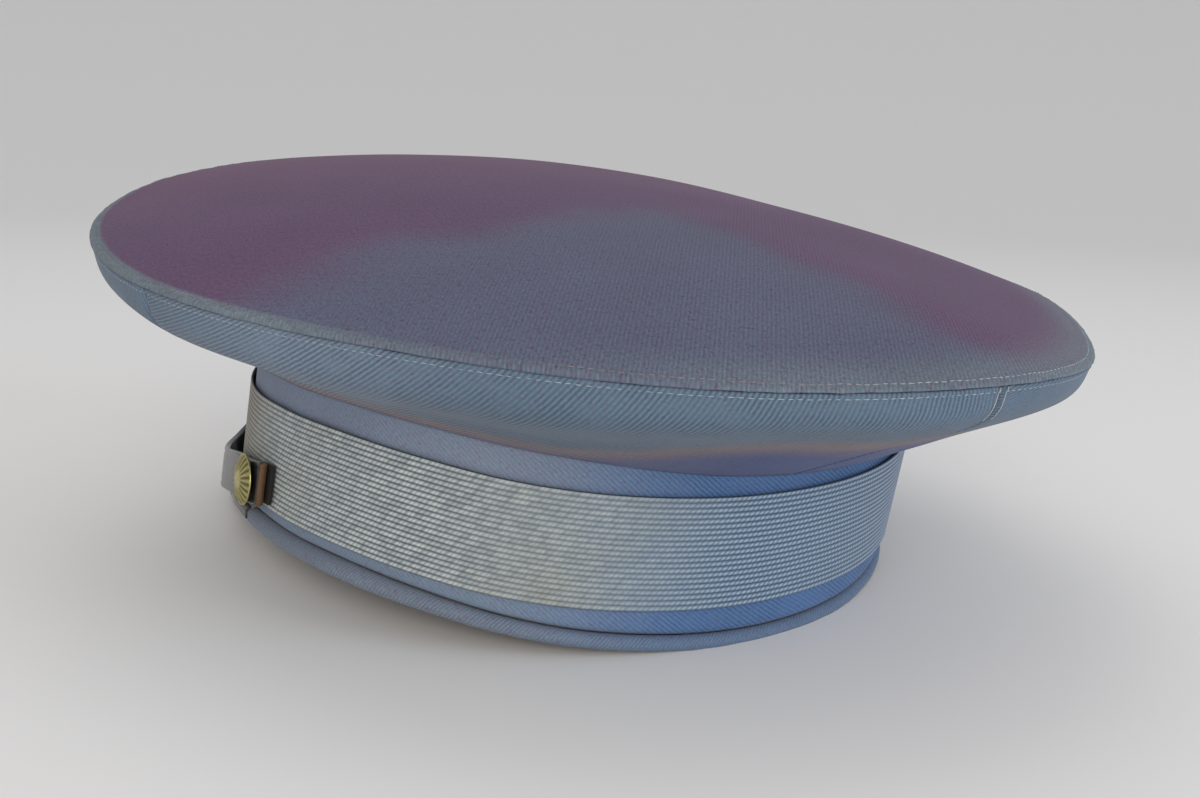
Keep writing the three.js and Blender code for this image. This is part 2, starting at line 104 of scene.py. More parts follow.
# The chin strap's middle height, and how far its back stands off the braid, by turn.
STRAP_CENTRE = ((0, 8.2), (22, 7.6), (38, 5.4), (48, 1.8), (55, 1.9), (61, 3.3), (69, 6.3), (76, 8.7),
                (84, 10.2), (88.5, 11.2))
STRAP_STANDOFF = ((0, 1.2), (22, 1.2), (38, 2.4), (48, 3.9), (55, 4.2), (61, 3.6), (69, 2.4), (76, 1.95),
                  (84, 1.95), (88.5, 1.95))


# %% Smooth curves through the tables
def smooth_curve(rows, right_round=False):
    """A smooth curve through rows of (turn, value), level at both ends."""
    last = len(rows) - 1

    def slope(i):
        if i in (0, last):
            return 0.0
        return (rows[i + 1][1] - rows[i - 1][1]) / (rows[i + 1][0] - rows[i - 1][0])

    slopes = [slope(i) for i in range(last + 1)]

    def value(turn):
        turn = turn % 360
        if not right_round:
            turn = min(turn, 360 - turn, rows[last][0])
        i = 0
        while i < last - 1 and turn > rows[i + 1][0]:
            i += 1
        span = rows[i + 1][0] - rows[i][0]
        u = (turn - rows[i][0]) / span
        ends = rows[i][1] * (1 + 2 * u) * (1 - u) ** 2 + rows[i + 1][1] * u * u * (3 - 2 * u)
        return ends + span * (slopes[i] * u * (1 - u) ** 2 + slopes[i + 1] * u * u * (u - 1))

    return value


rim_rise = smooth_curve(RIM_WAVE)
band_top = smooth_curve(BAND_TOP, right_round=True)
foot_drop = smooth_curve(FOOT_DROP)
welt_radius = smooth_curve(WELT_RADIUS)
edge_lift = smooth_curve(EDGE_LIFT, right_round=True)
edge_out = smooth_curve(EDGE_OUT, right_round=True)
more_inset = smooth_curve(MORE_INSET, right_round=True)
more_drop = smooth_curve(MORE_DROP, right_round=True)
peak_reach = smooth_curve(PEAK_REACH)
peak_droop = smooth_curve(PEAK_DROOP)
strap_centre = smooth_curve(STRAP_CENTRE)
strap_standoff = smooth_curve(STRAP_STANDOFF)
print("rim at the front, the side and the back:", [round(rim_rise(turn), 1) for turn in (0, 90, 180)])

# %% A curve through a few points
def spline(points, share):
    """A smooth curve through a few points, with share from 0 to 1."""
    chain = [points[0] * 2 - points[1], *points, points[-1] * 2 - points[-2]]
    at = share * (len(points) - 1)
    i = min(int(at), len(points) - 2)
    w = at - i
    a, b, c, d = chain[i:i + 4]
    square, cube = a * 2 - b * 5 + c * 4 - d, b * 3 - a - c * 3 + d
    return (b * 2 + (c - a) * w + square * w ** 2 + cube * w ** 3) * 0.5


# %% The ovals, and how the cap tips back
def oval(shape, turn):
    """A point of an egg-shaped superellipse."""
    across, along = math.sin(math.radians(turn)), -math.cos(math.radians(turn))
    power = 2 / shape["squareness"]
    y = shape["half_length"] * math.copysign(abs(along) ** power, along)
    x = shape["half_width"] * math.copysign(abs(across) ** power, across)
    return x * (1 + shape["egg"] * y / shape["half_length"]), y


def tipped(x, y, z):
    """A point of the band's own frame, turned as the cap tips back on its rim."""
    c, s = math.cos(REST["tilt"]), math.sin(REST["tilt"])
    return Vector((x, y * c + z * s, z * c - y * s))


def welt_middle(turn):
    """Height of the welt's middle, below the seam at the foot of the band."""
    return -foot_drop(turn) - GAP - welt_radius(turn)


back_foot = tipped(0, HEAD["half_length"] + WELT["outset"],
                   rim_rise(180) + welt_middle(180) - welt_radius(180))
settled = Vector((0, 0, -back_foot.z - REST["flatten"]))
print("the rim stands", round(settled.z, 1), "mm up")

# %% Points on the crown and on the head
def crown_point(turn, share, rise):
    """A point of the crown: the seam's oval scaled by share, with a rise above the seam."""
    x, y = oval(CROWN, turn)
    reach = share * (1 + edge_out(turn) / math.hypot(x, y))
    x, y = x * reach, y * reach
    z = rise + edge_lift(turn) * share ** 2
    z -= CROWN_SEAT["droop_across"] * x * x + CROWN_SEAT["droop_along"] * y * y
    c, s = math.cos(CROWN_SEAT["tilt"]), math.sin(CROWN_SEAT["tilt"])
    return tipped(x, y * c + z * s + CROWN_SEAT["back"], z * c - y * s + CROWN_SEAT["height"]) + settled


# The row's origin is under the middle of the cap, which the frame tells: the crown's back edge.
settled.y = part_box("crown_top")[1].y / MM - crown_point(180, 1, 0).y


def head_point(turn, outset, height):
    """A point round the head: outset from the face of the braid, height up from the rim's wave."""
    x, y = oval(HEAD, turn)
    x = x * (1 + outset / HEAD["half_width"]) + BAND["sway"] * (height - BAND["sway_from"])
    y *= 1 + outset / HEAD["half_length"]
    return tipped(x, y, rim_rise(turn) + height) + settled


# %% Directions out from the head
def outward(turn):
    """Unit vector straight out from the band, level with the table."""
    before, after = head_point(turn - 0.5, 0, 0), head_point(turn + 0.5, 0, 0)
    return Vector((after.y - before.y, before.x - after.x, 0)).normalized()


def square_out(turn, height):
    """Unit vector square to the face of the band at a height, whichever way the band leans."""
    round_it = head_point(turn + 0.5, 0, height) - head_point(turn - 0.5, 0, height)
    up = head_point(turn, 0, height + 1) - head_point(turn, 0, height)
    return round_it.cross(up).normalized()


# %% The dome and the quarters
def dome_rise(share):
    """How far the top rises above its seam, at a share of the way out to it."""
    return DOME["edge_rise"] + DOME["rise"] * (1 - (share / DOME["edge"]) ** 2)


def quarter_point(turn, share):
    """A point on the outside of the quarters: share 0 at the crown's seam, 1 at the top of the band."""
    seam = crown_point(turn, 1, -GAP)
    foot = head_point(turn, -BAND["setback"], band_top(turn) + GAP)
    level = Vector((foot.x - seam.x, foot.y - seam.y, 0))
    overhang, fall = level.length, seam.z - foot.z
    level.normalize()
    side = seam + level * (QUARTER["side_inset"] + more_inset(turn))
    side.z -= QUARTER["side_drop"] + more_drop(turn)
    fold = seam + level * QUARTER["fold_across"] * overhang - Vector((0, 0, QUARTER["fold_down"] * fall))
    return spline([seam, side, fold, foot], share)


print("cap stands", round(crown_point(0, 0, dome_rise(0)).z, 1), "mm high")

# %% [markdown]
# ## The camera and the light
#
# The cap is seen from behind its left side and a little above, from close by, which is why its
# far rim looks so small. The light is soft and plain: one wide panel over the camera's left
# shoulder, a cooler one on the right, and a pale room. The floor is a wide sheet of pale paper
# that sweeps up all round, far off, so that no line shows where it ends.

# %% Camera
CAMERA = dict(place=(231.96, 295.64, 118.6), azimuth=140.93, elevation=11.29, roll=1.72, lens=39.07)

camera = bpy.data.objects.new("camera", bpy.data.cameras.new("camera"))
bpy.context.collection.objects.link(camera)
camera.data.sensor_width = 36
camera.data.lens = CAMERA["lens"]
camera.data.clip_start = 0.01
turned = Matrix.Rotation(math.radians(CAMERA["azimuth"]), 4, "Z")
raised = Matrix.Rotation(math.radians(90 - CAMERA["elevation"]), 4, "X")
rolled = Matrix.Rotation(math.radians(CAMERA["roll"]), 4, "Z")
camera.matrix_world = Matrix.Translation(Vector(CAMERA["place"]) * MM) @ turned @ raised @ rolled
bpy.context.scene.camera = camera
print("camera looks along", [round(n, 3) for n in -camera.matrix_world.col[2].xyz])

# %% Colours
def colour(code):
    """A linear colour, with alpha, from an sRGB hex code."""
    parts = [int(code[i:i + 2], 16) / 255 for i in (0, 2, 4)]
    return (*[p / 12.92 if p <= 0.04045 else ((p + 0.055) / 1.055) ** 2.4 for p in parts], 1)


print("one red in linear light:", [round(part, 3) for part in colour("c03020")])

# %% Materials and nodes
def new_material(name):
    """A node material, emptied, with its Principled shader."""
    material = bpy.data.materials.new(name)
    material.use_nodes = True
    return material, material.node_tree, material.node_tree.nodes["Principled BSDF"]


def node(tree, kind, inputs=(), give=0, **settings):
    """Adds a node, sets it, fills its sockets and gives one of its outputs.

    The inputs go in by name or in order, and each is a value or what another node gave.
    """
    made = tree.nodes.new("ShaderNode" + kind)
    for key, value in settings.items():
        setattr(made, key, value)
    in_order = [socket for socket in made.inputs if socket.enabled]
    for key, value in dict(inputs if isinstance(inputs, dict) else enumerate(inputs)).items():
        socket = in_order[key] if isinstance(key, int) else made.inputs[key]
        if isinstance(value, bpy.types.NodeSocket):
            tree.links.new(value, socket)
        else:
            socket.default_value = value
    given = [socket for socket in made.outputs if socket.enabled]
    return given[give] if isinstance(give, int) else made.outputs[give]


# Settings that many nodes share: a mix of colours, a dyeing of one by another, and a smooth range.
RGBA = dict(data_type="RGBA")
DYE = dict(data_type="RGBA", blend_type="MULTIPLY")
SMOOTH = dict(interpolation_type="SMOOTHSTEP")

# %% Floor
FLOOR = dict(flat=1.5, bend=2.2, bend_turn=50, steps=12, round=96)  # metres, degrees
bm = bmesh.new()
outline = [bm.verts.new((0, 0, 0))]
for step in range(FLOOR["steps"] + 1):
    angle = math.radians(FLOOR["bend_turn"] * step / FLOOR["steps"])
    reach = FLOOR["flat"] + FLOOR["bend"] * math.sin(angle)
    outline.append(bm.verts.new((reach, 0, FLOOR["bend"] * (1 - math.cos(angle)))))
edges = [bm.edges.new(pair) for pair in zip(outline, outline[1:])]
bmesh.ops.spin(bm, geom=outline + edges, cent=(0, 0, 0), axis=(0, 0, 1), angle=2 * math.pi,
               steps=FLOOR["round"], use_merge=True)
bmesh.ops.remove_doubles(bm, verts=bm.verts, dist=0.001)
bmesh.ops.recalc_face_normals(bm, faces=bm.faces)
mesh = bpy.data.meshes.new("floor")
bm.to_mesh(mesh)
bm.free()
mesh.shade_smooth()
floor = bpy.data.objects.new("floor", mesh)
bpy.context.collection.objects.link(floor)
paper, tree, shader = new_material("pale_matte_floor")
shader.inputs["Base Color"].default_value = colour("f0efec")
shader.inputs["Roughness"].default_value = 0.9
floor.data.materials.append(paper)
print("the floor reaches", round(floor.dimensions.x / 2, 1), "m out")

# %% Room and lights
world = bpy.data.worlds.new("pale_room")
world.use_nodes = True
sky = world.node_tree
rise = node(sky, "SeparateXYZ", (node(sky, "TexCoord", give="Generated"),), give="Z")
height = node(sky, "MapRange", (rise, 0.0, 1.0))
paling = node(sky, "Mix", (height, colour("e2e3e6"), colour("f0f2f6")), **RGBA)
sky.links.new(paling, sky.nodes["Background"].inputs["Color"])
sky.nodes["Background"].inputs["Strength"].default_value = 0.6
bpy.context.scene.world = world
bpy.context.scene.view_settings.view_transform = "Standard"


def soft_light(name, place, size, power, tint):
    """A square soft panel that looks at the cap."""
    lamp = bpy.data.lights.new(name, "AREA")
    lamp.size = size
    lamp.energy = power
    lamp.color = colour(tint)[:3]
    panel = bpy.data.objects.new(name, lamp)
    bpy.context.collection.objects.link(panel)
    aim = Vector((0, 0, 0.06)) - Vector(place)
    panel.matrix_world = Matrix.Translation(place) @ aim.to_track_quat("-Z", "Y").to_matrix().to_4x4()
    print(name, "gives", power, "watts")


soft_light("key_panel", (0.95, 1.25, 0.5), 0.9, 15, "fff6ec")
soft_light("cool_panel", (-0.75, 1.35, 0.45), 0.8, 7.5, "e0ebff")
soft_light("top_panel", (0.0, -0.6, 1.6), 1.2, 4, "f6f0f4")

# %% [markdown]
# ## How a piece of cloth is laid
#
# Every sewn piece is one sheet on a curved surface. A grid has the right lines for that: one
# family runs round the cap and the other down it. So bmesh makes a flat grid, each vertex goes
# to its place on the surface, and small relief, such as the puff along a seam, pushes it along
# its normal. Each corner keeps two UV maps: "cloth", in millimetres across and along the weave,
# and "place", which says how far round and down the piece it is.

# %% Laying a sheet
INSIDE = Vector((0, 0, 60))  # a point inside the cap, in millimetres


def lay_sheet(columns, rows, place, weave, relief=None, arc=(0, 1), joined=False):
    """A bmesh grid laid on place(u, v), in millimetres, with its faces away from the cap's inside.

    u runs through the arc, and on most pieces it is the turn as a share of the whole circle.
    """
    bm = bmesh.new()
    bmesh.ops.create_grid(bm, x_segments=columns, y_segments=rows, size=0.5)
    cloth = bm.loops.layers.uv.new("cloth")
    where = bm.loops.layers.uv.new("place")
    for vert in bm.verts:
        u, v = arc[0] + (arc[1] - arc[0]) * (vert.co.x + 0.5), vert.co.y + 0.5
        for loop in vert.link_loops:
            loop[cloth].uv = weave(u, v)
            loop[where].uv = (u, v)
        vert.co = place(u, v) * MM
    if joined:
        bmesh.ops.remove_doubles(bm, verts=bm.verts, dist=0.001 * MM)
    bm.normal_update()
    if sum(face.normal.dot(face.calc_center_median() - INSIDE * MM) for face in bm.faces) < 0:
        bmesh.ops.reverse_faces(bm, faces=bm.faces)
        bm.normal_update()
    if relief:
        lifts = []
        for vert in bm.verts:
            u, v = vert.link_loops[0][where].uv
            lifts.append((vert, vert.normal * relief(u, v) * MM))
        for vert, lift in lifts:
            vert.co += lift
    return bm


# %% Making a piece
def make_piece(name, bm, materials, replaces=(), wall=None):
    """Turns a bmesh into a piece of the cap, with a wall inwards if it is a sheet."""
    mesh = bpy.data.meshes.new(name)
    bm.to_mesh(mesh)
    bm.free()
    mesh.shade_smooth()
    piece = bpy.data.objects.new(name, mesh)
    bpy.context.collection.objects.link(piece)
    for material in materials:
        mesh.materials.append(material)
    if wall:
        solidify = piece.modifiers.new("wall", "SOLIDIFY")
        solidify.thickness = wall * MM
        solidify.offset = -1
    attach(piece, "root")
    if replaces:
        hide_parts(*replaces)
    print(name, len(mesh.polygons), "faces")
    return piece


# %% Small relief and the lean of a weave
def bump_at(distance, centre, width):
    """A smooth hump, 1 at the centre and nearly 0 a width away."""
    return math.exp(-((distance - centre) / width) ** 2)


def uneven(turn, size, seed):
    """Smooth noise by turn, about -1 to 1, with features about size degrees long."""
    angle = math.radians(turn)
    spread = 57.3 / size  # 57.3 degrees make one radian
    return 2 * noise.noise(Vector((math.cos(angle) * spread, math.sin(angle) * spread, seed)))


def ridge_uv(across, along, lean):
    """Millimetres across and along the ridges of a twill that leans from the first axis."""
    c, s = math.cos(math.radians(lean)), math.sin(math.radians(lean))
    return (along * c - across * s, across * c + along * s)


# %% [markdown]
# ## The cloth
#
# The real cloth is a wool serge: a twill whose ridges stand about a millimetre apart. Its yarns
# are dyed blue-grey, so the ridges catch a dull light and the narrow furrows between them stay
# dark. A wave across the ridges makes both the colour and the bump. A noise drawn out along the
# ridges roughs the yarn, and a rounder one makes the heather of greener and redder fibres. Wool
# has no gloss, only a soft sheen towards the edges. A tint, such as a stain, a change of tone, a
# painted shade or a painted reflection, changes the colour of ridge and furrow alike, so that the
# weave still shows through it.

# %% A serge finish
WAVE_SCALE = 2 * math.pi / 20  # over the pitch in millimetres, it gives one wave a pitch


def serge(name, ridge, furrow, pitch, tints=(), relief=0.14, heather=0.8, fleck=1.0, sheen=0.1, felted=None):
    """A wool twill. Each tint is a function of the tree that gives (mask, ridge hex, furrow hex).

    Where the mask of the felted function is 1, rubbing has closed the furrows.
    """
    material, tree, shader = new_material(name)
    cloth = node(tree, "UVMap", uv_map="cloth")
    wave = node(tree, "TexWave", {
        "Vector": cloth, "Scale": WAVE_SCALE / pitch, "Distortion": 1.1, "Detail": 3.0, "Detail Scale": 1.6,
    }, give="Fac", wave_type="BANDS", bands_direction="X")
    yarn_place = node(tree, "Mapping", {"Vector": cloth, "Scale": (2.6, 0.9, 1)})
    yarn = node(tree, "TexNoise", {"Vector": yarn_place, "Scale": 1.0, "Detail": 3.0})
    fuzz = node(tree, "TexNoise", {"Vector": cloth, "Scale": 0.8, "Detail": 4.0, "Roughness": 0.75})
    blotch = node(tree, "TexNoise", {"Vector": cloth, "Scale": 0.03, "Detail": 3.0})
    patchy = node(tree, "TexNoise", {"Vector": cloth, "Scale": 0.12, "Detail": 3.0})
    closed = node(tree, "MapRange", (patchy, 0.42, 0.62, 0.0, 0.45), **SMOOTH)
    if felted:
        closed = node(tree, "Math", (closed, felted(tree)), operation="MAXIMUM")
    wave = node(tree, "Mix", (closed, wave, 0.55))
    ridge_colour, furrow_colour = colour(ridge), colour(furrow)
    for tint in tints:
        mask, ridge_code, furrow_code = tint(tree)
        ridge_colour = node(tree, "Mix", (mask, ridge_colour, colour(ridge_code)), **RGBA)
        furrow_colour = node(tree, "Mix", (mask, furrow_colour, colour(furrow_code)), **RGBA)
    crest = node(tree, "Math", (wave, 0.75), operation="POWER")
    base = node(tree, "Mix", (crest, furrow_colour, ridge_colour), **RGBA)
    for fibre, start, end in (("dcf4ea", 0.48, 0.66), ("fadcf0", 0.5, 0.34)):
        amount = node(tree, "MapRange", (fuzz, start, end, 0.0, heather), **SMOOTH)
        base = node(tree, "Mix", (amount, base, colour(fibre)), **DYE)
    mixed = node(tree, "Mix", (0.4, yarn, fuzz))
    speckle = node(tree, "Math", (mixed, fleck, 1.02 - fleck / 2), operation="MULTIPLY_ADD")
    cloudy = node(tree, "Math", (blotch, 0.3, 0.87), operation="MULTIPLY_ADD")
    shade = node(tree, "Math", (speckle, cloudy), operation="MULTIPLY")
    base = node(tree, "Mix", (1.0, base, node(tree, "CombineColor", (shade, shade, shade))), **DYE)
    height = node(tree, "Math", (yarn, 0.5, wave), operation="MULTIPLY_ADD")
    height = node(tree, "Math", (fuzz, 0.6, height), operation="MULTIPLY_ADD")
    bump = node(tree, "Bump", {"Height": height, "Strength": 0.7, "Distance": relief * MM})
    tree.links.new(base, shader.inputs["Base Color"])
    tree.links.new(bump, shader.inputs["Normal"])
    shader.inputs["Roughness"].default_value = 0.85
    shader.inputs["Specular IOR Level"].default_value = 0.2
    shader.inputs["Sheen Weight"].default_value = sheen
    shader.inputs["Sheen Roughness"].default_value = 0.45
    print(name, "has", len(tree.nodes), "nodes")
    return material


# %% Masks by place
def place_axis(tree, axis):
    """How far round (0) or down (1) the piece a point is, from 0 to 1."""
    return node(tree, "SeparateXYZ", (node(tree, "UVMap", uv_map="place"),), give=axis)


def between_turns(tree, start, full, most=1.0):
    """A mask by turn, 0 at start and at its most from full on."""
    return node(tree, "MapRange", (place_axis(tree, 0), start / 360, full / 360, 0.0, most), **SMOOTH)


def stretch_of_turns(tree, start, full, still, end, most=1.0):
    """A mask by turn: 0 at start, at its most from full to still, and 0 again at end."""
    rising, falling = between_turns(tree, start, full), between_turns(tree, end, still, most)
    return node(tree, "Math", (rising, falling), operation="MULTIPLY")


# %% [markdown]
# ## The crown's top panel
#
# The top is one oval of serge over a stiff ring, so it is a shallow dome that rolls over at the
# edge and tucks into the seam. The section from the middle to the seam is drawn once, as a
# spline for the roll, and the sheet carries it round. The top's plum grey is painted light: red
# light reflected onto it, reddest towards the front and the right, and painted shade, darker
# than the quarters. The painted red is left out over the back of the left side and on the
# rolled edge, which is a greener grey.

# %% The top's section
TOP_PITCH, TOP_LEAN = 0.93, 45  # millimetres between ridges, degrees
UPPER_STITCH = 1.9  # millimetres in from the seam
ROLL = [Vector((share, rise, 0)) for share, rise in (
    (0.955, dome_rise(0.955)), (0.972, dome_rise(0.972)), (0.984, 0.88), (0.9925, 0.64), (0.998, 0.22),
    (0.9995, -0.26), (0.9965, -0.6), (0.989, -0.62))]
ROLL_FROM = 0.72  # where down the sheet the roll starts
print("the roll starts", round((1 - ROLL[0].x) * CROWN["half_length"], 1), "mm in from the seam")


def top_section(v):
    """Share of the oval and rise above the seam, from the middle (0) to the tucked edge (1)."""
    if v < ROLL_FROM:
        share = ROLL[0].x * (1 - (1 - v / ROLL_FROM) ** 1.25)
        return share, dome_rise(share)
    point = spline(ROLL, (v - ROLL_FROM) / (1 - ROLL_FROM))
    return point.x, point.y


def top_place(u, v):
    share, rise = top_section(v)
    return crown_point(360 * u, share, rise)


def top_weave(u, v):
    spot = top_place(u, v)
    return ridge_uv(spot.x, spot.y, TOP_LEAN)


def top_relief(u, v):
    share, _ = top_section(v)
    soft = 0.35 * uneven(360 * u, 24, 3.1) * bump_at(share, 0.93, 0.07)
    pucker = 0.13 * uneven(360 * u, 1.7, 9.4) * bump_at(share, 0.99, 0.012)
    return soft + pucker


# %% The top's fading
def seen_from_above(tree):
    """Where a point lies on the cap's plan: its X and Y in metres."""
    place = node(tree, "TexCoord", give="Object")
    return [node(tree, "SeparateXYZ", (place,), give=axis) for axis in "XY"]


def blue_patch(tree):
    """Over the back of the left side the painted red reflection gives way to blue, up to a wandering edge."""
    x, y = seen_from_above(tree)
    drift = node(tree, "TexNoise", {"Vector": node(tree, "TexCoord", give="Object"), "Scale": 22.0})
    wander = node(tree, "Math", (drift, 0.036, -0.018), operation="MULTIPLY_ADD")
    left = node(tree, "MapRange", (node(tree, "Math", (x, wander), operation="ADD"), -0.008, 0.014), **SMOOTH)
    back = node(tree, "MapRange", (node(tree, "Math", (y, wander), operation="ADD"), 0.024, 0.052), **SMOOTH)
    return node(tree, "Math", (left, back), operation="MULTIPLY"), "5b5e73", "474a5f"


def painted_red_reflection(tree):
    """Painted reflection of red light, strongest towards the front and the right."""
    x, y = seen_from_above(tree)
    leaning = node(tree, "Math", (x, 0.5, y), operation="MULTIPLY_ADD")
    return node(tree, "MapRange", (leaning, 0.04, -0.12, 0.0, 0.5), **SMOOTH), "703e5f", "5e304e"


def greener_rim(tree):
    """A greener grey with no painted red: the last few millimetres before the seam, most of all round the
    sides, and a wider strip behind.
    """
    down = place_axis(tree, 1)
    edge = node(tree, "MapRange", (down, ROLL_FROM + 0.05, ROLL_FROM + 0.09), **SMOOTH)
    left, right = between_turns(tree, 135, 105), between_turns(tree, 172, 186)
    sides = node(tree, "Math", (left, right), operation="ADD")
    strength = node(tree, "Math", (sides, 0.6, 0.35), operation="MULTIPLY_ADD")
    narrow = node(tree, "Math", (edge, strength), operation="MULTIPLY")
    strip = node(tree, "MapRange", (down, ROLL_FROM - 0.1, ROLL_FROM + 0.03), **SMOOTH)
    behind = stretch_of_turns(tree, 125, 160, 225, 250, most=0.7)
    wide = node(tree, "Math", (strip, behind), operation="MULTIPLY")
    return node(tree, "Math", (narrow, wide), operation="MAXIMUM"), "6d7880", "56616b"


def felted_top(tree):
    """The nap has closed over most of the top, and least at the back."""
    x, y = seen_from_above(tree)
    nearer = node(tree, "Math", (x, -0.35, y), operation="MULTIPLY_ADD")
    return node(tree, "MapRange", (nearer, 0.075, -0.01, 0.4, 0.95), **SMOOTH)


# %% The top's cloth
# The plum of these colours is painted red reflected light and painted shade.
top_serge_painted_light = serge("plum_serge_painted_red_and_shade", ridge="604864", furrow="4e3956", pitch=TOP_PITCH, relief=0.1,
                    tints=(painted_red_reflection, blue_patch, greener_rim), heather=1.0, fleck=2.2, sheen=0.06,
                    felted=felted_top)
bm = lay_sheet(288, 84, top_place, top_weave, top_relief, joined=True)
make_piece("crown_top_cloth", bm, [top_serge_painted_light], ["crown_top"], wall=0.5)

# %% [markdown]
# ## The quarters
#
# Four panels slope in from the crown's edge to the band. Each is cut from the flat as a curved
# strip, so its twill runs straight on the flat pattern and fans out on the cap. The pattern is
# found again by unrolling the panel as a cone. A quarter puffs out between the seam and the
# row of stitches under it, and it has sagged into a soft fold. Along the fold's edge, where it
# turns under, a brown line of reflected red light is painted.

# %% Quarters
QUARTER_PITCH, QUARTER_LEAN = 1.12, 62  # millimetres, degrees
UNROLLED = dict(radius=168.0, fan=0.83)  # the flat pattern: radius of its long edge, share of a turn
QUARTER_LENGTH = 50.0  # millimetres down the cloth, about
QUARTER_STITCH = 2.4  # millimetres down to the row of stitches
SEAMS = (0, 94, 175.5, 270, 360)  # turns of the upright seams
SEAM_NIP = 0.04  # turn kept free beside each seam
SEAM_ROUND = 145.0  # about the radius at the seams, which turns degrees round into millimetres
FOLD_EDGE = dict(sides=0.88, behind=0.5)  # where down a quarter the edge of its fold runs


def seams_beside(turn):
    """The turns of the seams before and after a turn."""
    i = max(i for i in range(4) if SEAMS[i] <= turn % 360)
    return SEAMS[i], SEAMS[i + 1]


def down_quarter(turn, share):
    """A point down a quarter, which starts tucked in behind the rolled edge above it."""
    tuck = 1.3 * math.exp(-share * QUARTER_LENGTH / 0.6)
    return quarter_point(turn, share) - outward(turn) * tuck


def quarter_weave(turn, share):
    before, after = seams_beside(turn)
    fan = math.radians(UNROLLED["fan"] * (turn - (before + after) / 2))
    radius = UNROLLED["radius"] - share * QUARTER_LENGTH
    return ridge_uv(radius * math.sin(fan), radius * math.cos(fan), QUARTER_LEAN)


def quarter_relief(turn, share):
    down = share * QUARTER_LENGTH
    puff = 0.22 * bump_at(down, 1.4, 0.7) - 0.14 * bump_at(down, QUARTER_STITCH, 0.45)
    pucker = 0.16 * uneven(turn, 1.6, 7.7) * math.exp(-down / 3.5)
    sag = 0.8 * uneven(turn, 17, 1.3) * bump_at(share, 0.5, 0.25)
    before, after = seams_beside(turn)
    beside = SEAM_ROUND * math.radians(min(turn - before, after - turn))
    side_seam = -0.5 * math.exp(-beside / 0.4) + 0.15 * bump_at(beside, 0.9, 0.5)
    return puff + pucker + sag + side_seam


drop = down_quarter(SEAMS[1], 0).z - down_quarter(SEAMS[1], 1).z
print("the quarters fall", round(drop, 1), "mm at the left")

# %% The quarters' wear
def past_line(tree):
    """How far down a quarter a point lies past the edge of its fold, which is higher behind."""
    behind = stretch_of_turns(tree, 138, 164, 215, 250)
    line = node(tree, "Mix", (behind, FOLD_EDGE["sides"], FOLD_EDGE["behind"]))
    return node(tree, "Math", (place_axis(tree, 1), line), operation="SUBTRACT")


def painted_red_fold_line(tree):
    """Painted reflection of red light: a brown line where the fold turns under, sharp in the middle of a
    faint one.
    """
    past = past_line(tree)
    streaks = []
    for start, full, still, end in ((-0.06, -0.005, 0.015, 0.05), (-0.12, 0.0, 0.02, 0.2)):
        above = node(tree, "MapRange", (past, start, full), **SMOOTH)
        below = node(tree, "MapRange", (past, end, still, 0.0, 0.5), **SMOOTH)
        streaks.append(node(tree, "Math", (above, below), operation="MULTIPLY"))
    return node(tree, "Math", streaks, operation="MAXIMUM"), "9c7766", "5e5a5e"


def shade_and_red_bounce_under(tree):
    """Painted shade and painted red bounce light on the turned-in part below the line, which faces down."""
    return node(tree, "MapRange", (past_line(tree), 0.0, 0.1), **SMOOTH), "61678a", "474d6c"


def deeper_shade_behind(tree):
    """Behind, the same part gets deeper painted shade."""
    past = node(tree, "MapRange", (past_line(tree), 0.0, 0.1), **SMOOTH)
    behind = stretch_of_turns(tree, 148, 166, 200, 235)
    return node(tree, "Math", (past, behind), operation="MULTIPLY"), "435283", "323f68"


def paler_side(tree):
    """The left side is paler."""
    return stretch_of_turns(tree, 88, 104, 112, 138), "728092", "4c5b6c"


# %% The quarters' cloth
quarter_serge = serge("blue_grey_serge", ridge="617385", furrow="405163", pitch=QUARTER_PITCH, relief=0.11,
                      tints=(paler_side, shade_and_red_bounce_under, deeper_shade_behind, painted_red_fold_line))
for name, start, end in zip(("front_left", "back_left", "back_right", "front_right"), SEAMS, SEAMS[1:]):
    bm = lay_sheet(150, 54, lambda u, v: down_quarter(360 * u, v), lambda u, v: quarter_weave(360 * u, v),
                   lambda u, v: quarter_relief(360 * u, v),
                   arc=((start + SEAM_NIP) / 360, (end - SEAM_NIP) / 360))
    make_piece(f"quarter_cloth_{name}", bm, [quarter_serge], [f"quarter_{name}"], wall=0.5)


# %% [markdown]
# ## The band and its welt
#
# The band is a straight strip of the same serge, so its twill keeps one angle all the way
# round, the other way to the quarters'. It turns in at its foot, where the rolled welt is sewn
# on. The welt is a cord covered with cloth: a ring of edges carried along the seam.

# %% Band
BAND_PITCH, BAND_LEAN = 0.98, 36  # millimetres, degrees
BAND_ROUND = 590.0  # millimetres round the cloth
BAND_COVER = 0.5  # how far the band runs up behind the foot of the quarters


def band_place(u, v):
    turn = 360 * u
    top, foot = band_top(turn) + BAND_COVER, -foot_drop(turn)
    height = top + (foot - top) * v
    tuck = 1.2 * math.exp(-(height - foot) / 0.7)
    return head_point(turn, -BAND["setback"] - tuck, height)


def band_weave(u, v):
    return ridge_uv(u * BAND_ROUND, v * 42, BAND_LEAN)


def greyer_left(tree):
    return stretch_of_turns(tree, 25, 65, 95, 125), "8490a5", "697489"


# Painted shade on the low strip at the left, above the welt.
def shaded_low_left(tree):
    low = node(tree, "MapRange", (place_axis(tree, 1), 0.7, 0.85), **SMOOTH)
    left = stretch_of_turns(tree, 40, 70, 130, 165)
    return node(tree, "Math", (low, left), operation="MULTIPLY"), "768699", "5d6c7f"


def bluer_right(tree):
    return stretch_of_turns(tree, 130, 165, 210, 270), "526f97", "3b557c"


